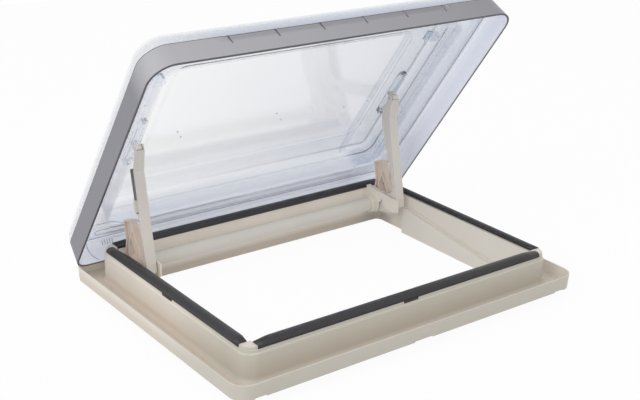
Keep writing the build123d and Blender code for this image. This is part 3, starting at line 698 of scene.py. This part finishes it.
@dataclass(frozen=True)
class BandPaint:
    """Grey lacquer outside with painted shade, darker to the right, on the flanks, in the front recess and on its
    ribs; pale clear lining inside with a painted glow; and a dark line along both edges.
    """

    space: LidSpace
    low: Vector
    high: Vector
    # Painted shade: the lacquer goes from light on the left to dark on the right, and darker still on the flanks
    light: Rgb = (176, 176, 181)
    dark: Rgb = (143, 142, 147)
    flank_shade: Rgb = (126, 125, 133)
    flank_depth: float = 60.0
    flank_fade: float = 70.0
    lining_low: Rgb = (230, 233, 243)
    lining_high: Rgb = (234, 237, 245)
    lining_step: float = 68.0
    # Painted glow of the pale lining
    lining_painted_glow: float = 0.17
    line: Rgb = (84, 83, 87)
    line_width: float = 1.3
    face_depth: float = 8.0
    recess_half: float = 262.0
    recess_height: float = 13.0
    recess_fade: float = 40.0
    recess_shade_share: float = 0.3
    rib_pitch: float = 100.0
    rib_half: float = 1.8
    rib_spare: float = 7.0
    roughness: float = 0.32
    metallic: float = 0.2
    name: str = "band_lacquer"

    def recess(self, x: Wire, y: Wire, z: Wire) -> Wire:
        """Painted shade in the front face's shallow recess, and on the ribs that cross it.

        Args:
            x: place along X on the shut lid.
            y: place along Y.
            z: height.

        Returns:
            How much of the dark line's colour shows as painted shade.
        """
        floor_z = self.high.z - self.recess_height
        front = y.under(self.low.y + self.face_depth, 2.0)
        front = front * x.within(-self.recess_half, self.recess_half, self.recess_fade)
        between = x.math("PINGPONG", x, self.rib_pitch / 2)
        rib = between.over(self.rib_pitch / 2 - self.rib_half, 1.2) * z.over(floor_z - self.rib_spare, 2.0)
        return (front * (z.over(floor_z, 7.0) * self.recess_shade_share + rib)).clamped()

    def build(self) -> Material:
        """Make the material."""
        palette = Palette(self.name)
        x, y, z = palette.in_lid(self.space)
        inside = 1.0 - palette.outside(self.space.opened(*(self.low + self.high) / 2) * MILLIMETRE)
        cloud = palette.noise(7.0)
        # Painted shade from left to right, with some random tone
        share = (x * (0.5 / self.high.x) + 0.5 + (cloud - 0.5) * 0.2).clamped()
        flank_shade = y.over(self.low.y + self.flank_depth, self.flank_fade)
        outer = palette.mixed(share, self.light, self.dark)
        outer = palette.mixed(flank_shade, outer, self.flank_shade)
        # Painted shade in the front recess and on its ribs, in the dark line's colour
        outer = palette.mixed(self.recess(x, y, z) * 0.9, outer, self.line)
        step = z.over(self.lining_step, 2.0)
        lining = palette.mixed(step, self.lining_low, self.lining_high)
        edge = 1.0 - z.within(self.low.z + self.line_width, self.high.z - self.line_width, 0.8)
        shader = palette.node("ShaderNodeBsdfPrincipled", sockets={
            "Base Color": palette.mixed(edge, palette.mixed(inside, outer, lining), self.line),
            "Roughness": cloud * 0.1 + self.roughness,
            "Metallic": (1.0 - inside) * self.metallic,
            # Painted glow of the lining
            "Emission Color": palette.mixed(inside, BLACK, lining), "Emission Strength": self.lining_painted_glow,
            "Normal": palette.bump(palette.noise(1400.0), 0.3, 0.00001)})
        return palette.surface(shader)


FRAME_FINISH = FramePlastic("cream_plastic", (228, 221, 211), (220, 212, 201), 0.42)
SLOT_FINISHES = (
    Moulding("arm_paint", (221, 216, 209), (215, 209, 202), 0.40),
    Moulding("tube_paint", (221, 217, 209), (215, 210, 201), 0.35),
    Moulding("lever_plastic", (232, 217, 205), (222, 205, 192), 0.38),
    Moulding("bush_plastic", (230, 222, 210), (222, 213, 200), 0.38),
    Moulding("seal_rubber", (40, 40, 43), (28, 28, 31), 0.42),
    ClearFitting("clear_fitting", (244, 247, 249), (238, 242, 245), roughness=0.03),
    Moulding("zinc_steel", (190, 191, 192), (170, 171, 173), 0.30, 1.0),
    Moulding("strut_steel", (128, 130, 128), (112, 114, 112), 0.32, 0.8),
    Moulding("rod_chrome", (205, 207, 210), (195, 197, 200), 0.12, 1.0))
HOOK_FINISH = ClearFitting("hook_acrylic", (250, 251, 253), (240, 243, 247), ior=1.16)
RIB_FINISH = Moulding("weld_ribs", (226, 228, 238), (212, 214, 226), 0.3)
LINE_FINISH = Moulding("flange_lines", (184, 185, 197), (170, 171, 183), 0.3)
MARK_FINISH = Moulding("mould_marks", (176, 180, 194), (164, 168, 184), 0.3)


def make_object(name: str, mesh: Mesh, material: Material, smooth: bool) -> Object:
    """Make a mesh object.

    Args:
        name: the object's name.
        mesh: its corners in millimetres, and the corner numbers of each face.
        material: its material.
        smooth: shade its faces as one curved surface.

    Returns:
        The object.
    """
    points, faces = mesh
    data = bpy.data.meshes.new(name)
    data.from_pydata([point * MILLIMETRE for point in points], [], faces)
    data.materials.append(material)
    for polygon in data.polygons:
        polygon.use_smooth = smooth
    data.update()
    made = bpy.data.objects.new(name, data)
    bpy.context.scene.collection.objects.link(made)
    return made


def add_piece(name: str, mesh: Mesh, material: Material, body: str,
              smooth: bool = True) -> Object:
    """Make a mesh piece that rides on a body.

    Args:
        name: the piece's name.
        mesh: its corners in the open hatch's own frame, and its faces.
        material: its material.
        body: the CAD body that it moves with.
        smooth: shade its faces as one curved surface.

    Returns:
        The piece.
    """
    piece = make_object(name, mesh, material, smooth)
    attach(piece, body)
    log.info("%s: %d faces on %s", name, len(mesh[1]), body)
    return piece


def rounded_ring(half_x: float, y_low: float, y_high: float, low_corner: float, high_corner: float,
                 steps: int) -> Line:
    """Points round a rectangle with rounded corners, anticlockwise from its right front corner.

    Args:
        half_x: half its length along X.
        y_low: its front edge.
        y_high: its back edge.
        low_corner: radius of the two front corners.
        high_corner: radius of the two back corners.
        steps: spans in each corner.

    Returns:
        The (x, y) points.
    """
    corners = [(half_x - low_corner, y_low + low_corner, low_corner, -90.0),
               (half_x - high_corner, y_high - high_corner, high_corner, 0.0),
               (high_corner - half_x, y_high - high_corner, high_corner, 90.0),
               (low_corner - half_x, y_low + low_corner, low_corner, 180.0)]
    ring = []
    for x, y, radius, start in corners:
        for step in range(steps + 1):
            angle = math.radians(start + 90.0 * step / steps)
            ring.append((x + radius * math.cos(angle), y + radius * math.sin(angle)))
    return ring


def bridged(rings: list[list[Vector]]) -> Mesh:
    """Join closed rings of points into a skin, each ring to the next, with a cap on both ends.

    Args:
        rings: rings with the same number of points.

    Returns:
        All points, and the faces between the rings and on both ends.
    """
    count = len(rings[0])
    points = [point for ring in rings for point in ring]
    faces = []
    for row in range(len(rings) - 1):
        for place in range(count):
            after = (place + 1) % count
            faces.append((row * count + place, row * count + after,
                          (row + 1) * count + after, (row + 1) * count + place))
    faces.append(tuple(range(count - 1, -1, -1)))
    faces.append(tuple(range(len(points) - count, len(points))))
    return points, faces


def joined(meshes: list[Mesh]) -> Mesh:
    """Put several meshes together as one.

    Args:
        meshes: the points and faces of each.

    Returns:
        All points, and all faces with their new corner numbers.
    """
    points, faces = [], []
    for more_points, more_faces in meshes:
        faces += [tuple(len(points) + corner for corner in face) for face in more_faces]
        points += more_points
    return points, faces


@dataclass
class Dome:
    """Clear outer dome of even thickness, just under the facetted CAD dome that it stands for."""

    space: LidSpace
    low: Vector
    high: Vector
    shoulder: float = 75.0
    skin_sink: float = 0.3
    wall: float = 2.5
    front_corner: float = 48.0
    back_corner: float = 28.0
    front_tightening: float = 0.25
    back_tightening: float = 0.12
    least_corner: float = 12.0
    least_rise: float = 0.1
    rise_steps: int = 28
    corner_steps: int = 14

    def ring(self, inset: float, z: float) -> list[Vector]:
        """One ring round the dome.

        Args:
            inset: how far the ring is drawn in from the dome's lower edge.
            z: the ring's height, with the lid shut.

        Returns:
            The ring's points on the open lid.
        """
        front = max(self.front_corner - inset * self.front_tightening, self.least_corner)
        back = max(self.back_corner - inset * self.back_tightening, self.least_corner)
        flat = rounded_ring(self.high.x - inset, self.low.y + inset, self.high.y - inset, front, back,
                            self.corner_steps)
        return [self.space.opened(x, y, z) for x, y in flat]

    def surface(self, sink: float) -> list[list[Vector]]:
        """Rings of one skin of the dome, from its lower edge to its flat top.

        Args:
            sink: how far the skin lies inside the CAD dome's outer face.

        Returns:
            The rings.
        """
        height = self.high.z - self.low.z
        rings = [self.ring(sink, self.low.z)]
        for step in range(1, self.rise_steps + 1):
            angle = math.radians(90.0 * step / self.rise_steps)
            z = max(self.low.z + height * math.sin(angle) - sink, self.low.z + self.least_rise * step)
            rings.append(self.ring(self.shoulder * (1 - math.cos(angle)) + sink, z))
        return rings

    def build(self) -> Object:
        """Make the dome and let it stand for its CAD node."""
        inner = self.surface(self.skin_sink + self.wall)
        mesh = bridged(inner[::-1] + self.surface(self.skin_sink))
        material = DomeSheet(self.space, self.low.z, self.high.z).build()
        piece = add_piece("dome_shell", mesh, material, "lid")
        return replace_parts(piece, "dome_outer")


@dataclass
class WeldRibs:
    """Two rows of small slanting ribs on the pane's back flange, where the dome is welded to it."""

    space: LidSpace
    pitch: float = 5.0
    count: int = 137
    width: float = 2.2
    length: float = 8.0
    height: float = 1.0
    lean: float = 2.5
    level: float = 78.1
    low_row: float = 224.5
    high_row: float = 245.0

    def rib(self, x: float, y: float) -> Mesh:
        """One rib.

        Args:
            x: its middle along X, with the lid shut.
            y: its middle along Y.

        Returns:
            Its corners on the open lid, and its faces.
        """
        half, reach = self.width / 2, self.length / 2
        flat = [(-half - self.lean, -reach), (half - self.lean, -reach),
                (half + self.lean, reach), (-half + self.lean, reach)]
        corners = [self.space.opened(x + along, y + across, z)
                   for z in (self.level, self.level + self.height) for along, across in flat]
        return corners, BLOCK_SIDES

    def build(self) -> None:
        """Make each row as one piece."""
        material = RIB_FINISH.build()
        places = [(step - (self.count - 1) / 2) * self.pitch for step in range(self.count)]
        for name, y in (("weld_ribs_back_low", self.low_row), ("weld_ribs_back_high", self.high_row)):
            row = joined([self.rib(x, y) for x in places])
            add_piece(name, row, material, "lid", smooth=False)


@dataclass
class FlangeLines:
    """Raised lines in the lid's left back corner: a wavy bead, a recess outline, a comb and a bent line."""

    space: LidSpace
    level: float = 76.6
    width: float = 1.5
    height: float = 0.8
    wall_y: float = 278.0
    wall_z: float = 36.0
    wall_slope: float = 4.0 / 48.0
    bead_ends: tuple[float, float] = (-378.0, -24.0)
    bead_low: float = 200.0
    bead_high: float = 219.5
    bead_step: tuple[float, float] = (-350.0, -296.0)
    bead_spans: int = 60
    recess_ends: tuple[float, float] = (-372.0, -300.0)
    recess_sides: tuple[float, float] = (224.0, 239.0)
    recess_corner: float = 7.0
    recess_steps: int = 6
    comb_ends: tuple[float, float] = (-344.0, -321.0)
    comb_heights: tuple[float, float] = (70.5, 82.0)
    comb_teeth: int = 5
    comb_lean: float = 2.5
    bend: tuple[tuple[float, float], ...] = (
        (-379.3, 79.8), (-380.6, 71.0), (-380.0, 62.0), (-377.5, 54.5), (-373.5, 48.0), (-366.5, 41.5))

    def strip(self, line: Line, upright: bool) -> Mesh:
        """Give a line of points a width and a height.

        Args:
            line: its points with the lid shut, as (x, y) on the flange or (x, z) on the back wall.
            upright: the line lies on the back wall.

        Returns:
            The strip's corners on the open lid, and its faces.
        """
        rings = []
        for place, (x, other) in enumerate(line):
            before, after = line[max(place - 1, 0)], line[min(place + 1, len(line) - 1)]
            along = Vector((after[0] - before[0], after[1] - before[1])).normalized() * (self.width / 2)
            ring = []
            for side, up in ((-1, 0.0), (1, 0.0), (0.5, self.height), (-0.5, self.height)):
                u, v = x + side * along.y, other - side * along.x
                wall = self.wall_y - (v - self.wall_z) * self.wall_slope
                ring.append(self.space.opened(u, wall - up, v) if upright
                            else self.space.opened(u, v, self.level + up))
            rings.append(ring)
        return bridged(rings)

    def bead(self) -> Line:
        """The bead's points, which step back once near the corner."""
        low, high = self.bead_ends
        start, end = self.bead_step
        line = []
        for span in range(self.bead_spans + 1):
            x = low + (high - low) * span / self.bead_spans
            share = min(max((x - start) / (end - start), 0.0), 1.0)
            eased = (3 - 2 * share) * share ** 2
            line.append((x, self.bead_low + (self.bead_high - self.bead_low) * eased))
        return line

    def recess(self) -> Line:
        """The outline of the shallow recess between the two rows of weld ribs."""
        low, high = self.recess_ends
        corner = self.recess_corner
        ring = rounded_ring((high - low) / 2, *self.recess_sides, corner, corner, self.recess_steps)
        line = [((low + high) / 2 + x, y) for x, y in ring]
        return line + line[:1]

    def comb(self) -> list[Line]:
        """The comb's slanting teeth."""
        start, end = self.comb_ends
        low, high = self.comb_heights
        places = [start + (end - start) * tooth / (self.comb_teeth - 1) for tooth in range(self.comb_teeth)]
        return [[(x - self.comb_lean, low), (x, high)] for x in places]

    def build(self) -> Object:
        """Make all the lines as one piece."""
        flat = [self.strip(line, False) for line in (self.bead(), self.recess())]
        upright = [self.strip(line, True) for line in [list(self.bend)] + self.comb()]
        return add_piece("flange_lines", joined(flat + upright), LINE_FINISH.build(), "lid",
                         smooth=False)


@dataclass
class MouldMarks:
    """Small pips that the mould leaves on the pane."""

    space: LidSpace
    places: tuple[tuple[float, float], ...] = (
        (12.0, 10.0), (33.0, 36.0), (200.0, 35.0), (265.0, 29.0), (-226.0, 8.0), (-213.0, 27.0),
        (-326.0, -108.0), (-328.0, -96.0), (331.0, -112.0), (334.0, -96.0))
    radius: float = 1.9
    tip_radius: float = 1.33
    height: float = 0.7
    spans: int = 10

    def pip(self, x: float, y: float, level: float) -> Mesh:
        """One pip, from its middle and the height of the face that it hangs from, with the lid shut."""
        turns = [-math.tau * step / self.spans for step in range(self.spans)]
        return bridged([[self.space.opened(x + radius * math.cos(turn), y + radius * math.sin(turn), z)
                         for turn in turns]
                        for radius, z in ((self.radius, level), (self.tip_radius, level - self.height))])

    def build(self) -> Object:
        """Make all the pips as one piece, on the pane's lower face, where the hooks hang too."""
        level = self.space.shut_box("latch_hook_right")[1].z
        mesh = joined([self.pip(x, y, level) for x, y in self.places])
        return add_piece("mould_marks", mesh, MARK_FINISH.build(), "lid", smooth=False)


@dataclass
class Seal:
    """Soft bulb seal on one side of the seat, fuller than the CAD strip."""

    side: SealSide
    seat_depth: float = 9.0
    lip_share: float = 0.2
    roundness: float = 0.75
    arc_steps: int = 12
    runs: int = 24
    end_share: float = 0.45
    short_taper: float = 12.0
    long_taper: float = 110.0
    tongue_length: float = 34.0
    tongue_drop: float = 3.5
    tongue_depth: float = 3.0

    @property
    def node(self) -> str:
        """The CAD strip that the seal stands for."""
        return "seal_" + self.side.value

    def profile(self, width: float, low: float, high: float, fullness: float) -> Line:
        """Cross-section of the seal, from its outer foot over the bulb to its inner foot.

        Args:
            width: the CAD strip's width.
            low: height of its foot.
            high: height of its crown.
            fullness: how much of the extra bulge this place has.

        Returns:
            Points of distance in from the outer edge, and height.
        """
        inward, upward = self.side.bulge
        reach = width + inward * fullness
        crown = high + upward * fullness
        lip = low + (high - low) * self.lip_share
        points = [(0.12 * width, low)]
        for step in range(self.arc_steps + 1):
            angle = math.pi * (1 - step / self.arc_steps)
            bulb = (crown - lip) * math.sin(angle) ** self.roundness
            points.append((reach / 2 * (1 + math.cos(angle)), lip + bulb))
        return points + [(0.86 * reach, low)]

    def fullness(self, before: float, after: float, back_taper: float) -> float:
        """How much of the extra bulge a place has."""
        eased = min(before / self.short_taper, after / back_taper, 1.0)
        return self.end_share + (1 - self.end_share) * math.sin(math.radians(90 * eased))

    def build(self, material: Material) -> Object:
        """Make the seal and let it stand for its CAD strip.

        Args:
            material: its rubber.

        Returns:
            The piece.
        """
        low, high = (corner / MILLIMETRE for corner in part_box(self.node))
        along = 1 if self.side in (SealSide.LEFT, SealSide.RIGHT) else 0
        across = 1 - along
        outer, inward = (low[across], 1) if low[across] + high[across] < 0 else (high[across], -1)
        back_taper = self.long_taper if along else self.short_taper
        seat = high.z - self.seat_depth

        def corner(place: float, depth: float, z: float) -> Vector:
            """A point from its place along the seal, its depth in from the outer edge and its height."""
            point = Vector((0.0, 0.0, z))
            point[along], point[across] = place, outer + inward * depth
            return point

        rings = []
        for run in range(self.runs + 1):
            place = low[along] + (high[along] - low[along]) * run / self.runs
            fullness = self.fullness(place - low[along], high[along] - place, back_taper)
            section = self.profile(high[across] - low[across], seat, high.z, fullness)
            rings.append([corner(place, depth, z) for depth, z in section])
        middle, half = (low[along] + high[along]) / 2, self.tongue_length / 2
        outline = ((-half, 0.0), (half, 0.0), (half, self.tongue_depth), (-half, self.tongue_depth))
        tongue = [corner(middle + offset, depth, z)
                  for z in (seat - self.tongue_drop, seat + 1.0) for offset, depth in outline]
        mesh = joined([bridged(rings), (tongue, BLOCK_SIDES)])
        piece = add_piece(self.node + "_bulb", mesh, material, "frame")
        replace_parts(piece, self.node)
        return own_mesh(piece)


@dataclass
class PhotoCamera:
    """Camera at the photograph's viewpoint."""

    azimuth: float = -37.25
    elevation: float = 21.05
    roll: float = 1.26
    distance: float = 2.66318
    focal: float = 1170.52
    centre_x: float = 320.51
    centre_y: float = 199.59
    target: tuple[float, float, float] = (0.17807, 0.25267, 0.06)
    sensor: float = 36.0

    def build(self) -> None:
        """Make the scene's camera."""
        turn, rise, lean = (math.radians(a) for a in (self.azimuth, self.elevation, self.roll))
        back = Vector((math.sin(turn) * math.cos(rise), -math.cos(turn) * math.cos(rise), math.sin(rise)))
        level = Vector((math.cos(turn), math.sin(turn), 0.0))
        upright = back.cross(level)
        right = math.cos(lean) * level + math.sin(lean) * upright
        up = math.cos(lean) * upright - math.sin(lean) * level
        data = bpy.data.cameras.new("photo_camera")
        data.sensor_width = self.sensor
        data.lens = self.focal * self.sensor / IMAGE_WIDTH
        data.shift_x = (IMAGE_WIDTH / 2 - self.centre_x) / IMAGE_WIDTH
        data.shift_y = (self.centre_y - IMAGE_HEIGHT / 2) / IMAGE_WIDTH
        camera = bpy.data.objects.new("photo_camera", data)
        turned = Matrix((right, up, back)).transposed().to_4x4()
        camera.matrix_world = Matrix.Translation(Vector(self.target) + back * self.distance) @ turned
        bpy.context.scene.collection.objects.link(camera)
        bpy.context.scene.camera = camera


@dataclass(frozen=True)
class SoftLamp:
    """Square area lamp that faces the object."""

    name: str
    place: tuple[float, float, float]
    power: float
    size: float = 1.8

    def build(self) -> None:
        """Make the lamp."""
        data = bpy.data.lights.new(self.name, "AREA")
        data.size = self.size
        data.energy = self.power
        lamp = bpy.data.objects.new(self.name, data)
        lamp.location = self.place
        lamp.rotation_euler = Vector(self.place).to_track_quat("Z", "Y").to_euler()
        bpy.context.scene.collection.objects.link(lamp)


@dataclass
class Studio:
    """Pale floor, white surroundings and soft lamps."""

    floor_half: float = 3000.0
    floor_drop: float = 0.5
    floor_grey: float = 0.86
    floor_white: float = 0.95
    ambient: float = 0.74
    through_glass: float = 0.98
    lamps: tuple[SoftLamp, ...] = (SoftLamp("key_lamp", (-2.6, -0.7, 2.0), 30.0),
                                   SoftLamp("fill_lamp", (0.3, -2.6, 1.6), 5.0))

    def build(self) -> None:
        """Make the floor, the world and the lamps."""
        self.make_floor()
        self.make_world()
        for lamp in self.lamps:
            lamp.build()

    def make_floor(self) -> None:
        """Make a floor that looks white and still takes the object's shadow."""
        palette = Palette("floor_paper")
        rays = palette.node("ShaderNodeLightPath").outputs
        camera, glossy, through = (palette.wire(rays[f"Is {kind} Ray"])
                                   for kind in ("Camera", "Glossy", "Transmission"))
        seen = camera.either(glossy).either(through) * self.floor_white
        grey = (self.floor_grey, self.floor_grey, self.floor_grey, 1.0)
        paper = palette.node("ShaderNodeBsdfDiffuse", sockets={"Color": grey})
        white = palette.node("ShaderNodeEmission", sockets={"Color": linear(*WHITE), "Strength": 1.0})
        material = palette.surface(palette.blend(seen, paper, white))
        half, level = self.floor_half, cad_low.z / MILLIMETRE - self.floor_drop
        corners = [Vector((x * half, y * half, level)) for x, y in ((-1, -1), (1, -1), (1, 1), (-1, 1))]
        floor = make_object("floor", (corners, [(0, 1, 2, 3)]), material, smooth=False)

    def make_world(self) -> None:
        """Make surroundings that look white and light the object evenly."""
        world = bpy.data.worlds.new("studio")
        bpy.context.scene.world = world
        world.use_nodes = True
        nodes = NodeTree(world.node_tree)
        rays = nodes.node("ShaderNodeLightPath").outputs

        def backdrop(strength: float) -> Node:
            """White surroundings of one strength."""
            return nodes.node("ShaderNodeBackground", sockets={"Color": linear(*WHITE), "Strength": strength})

        glossy = nodes.blend(rays["Is Glossy Ray"], backdrop(self.ambient), backdrop(1.0))
        through = nodes.blend(rays["Is Transmission Ray"], glossy, backdrop(self.through_glass))
        seen = nodes.blend(rays["Is Camera Ray"], through, backdrop(1.0))
        nodes.node("ShaderNodeOutputWorld", sockets={"Surface": seen.outputs[0]})


def dress_cad_nodes(space: LidSpace) -> dict[str, Material]:
    """Give every CAD node the finish of its material slot, and smooth shading.

    Args:
        space: the lid's coordinates.

    Returns:
        The material of each slot.
    """
    slots = {part["node"]: part["material_slot"] for part in frame["record"]["subparts"]}
    built = {finish.name: finish.build() for finish in SLOT_FINISHES}
    built["frame_plastic"] = FRAME_FINISH.build()
    built["band_grey"] = BandPaint(space, *space.shut_box("lid_band")).build()
    built["pane_clear"] = PaneSheet(space).build()
    built["dome_clear"] = built["pane_clear"]
    hook = HOOK_FINISH.build()
    for name, node in frame["nodes"].items():
        node.data.materials.clear()
        node.data.materials.append(hook if name.startswith("latch_hook") else built[slots[name]])
        for polygon in node.data.polygons:
            polygon.use_smooth = True
    return built


def main() -> None:
    """Build the picture piece by piece."""
    logging.basicConfig(level=logging.INFO, format="%(message)s")
    bpy.context.scene.view_settings.view_transform = "Standard"
    space = LidSpace.from_frame()
    PhotoCamera().build()
    Studio().build()
    built = dress_cad_nodes(space)
    for side in SealSide:
        Seal(side).build(built["seal_rubber"])
    Dome(space, *space.shut_box("dome_outer")).build()
    WeldRibs(space).build()
    FlangeLines(space).build()
    MouldMarks(space).build()


if __name__ == "__main__":
    main()
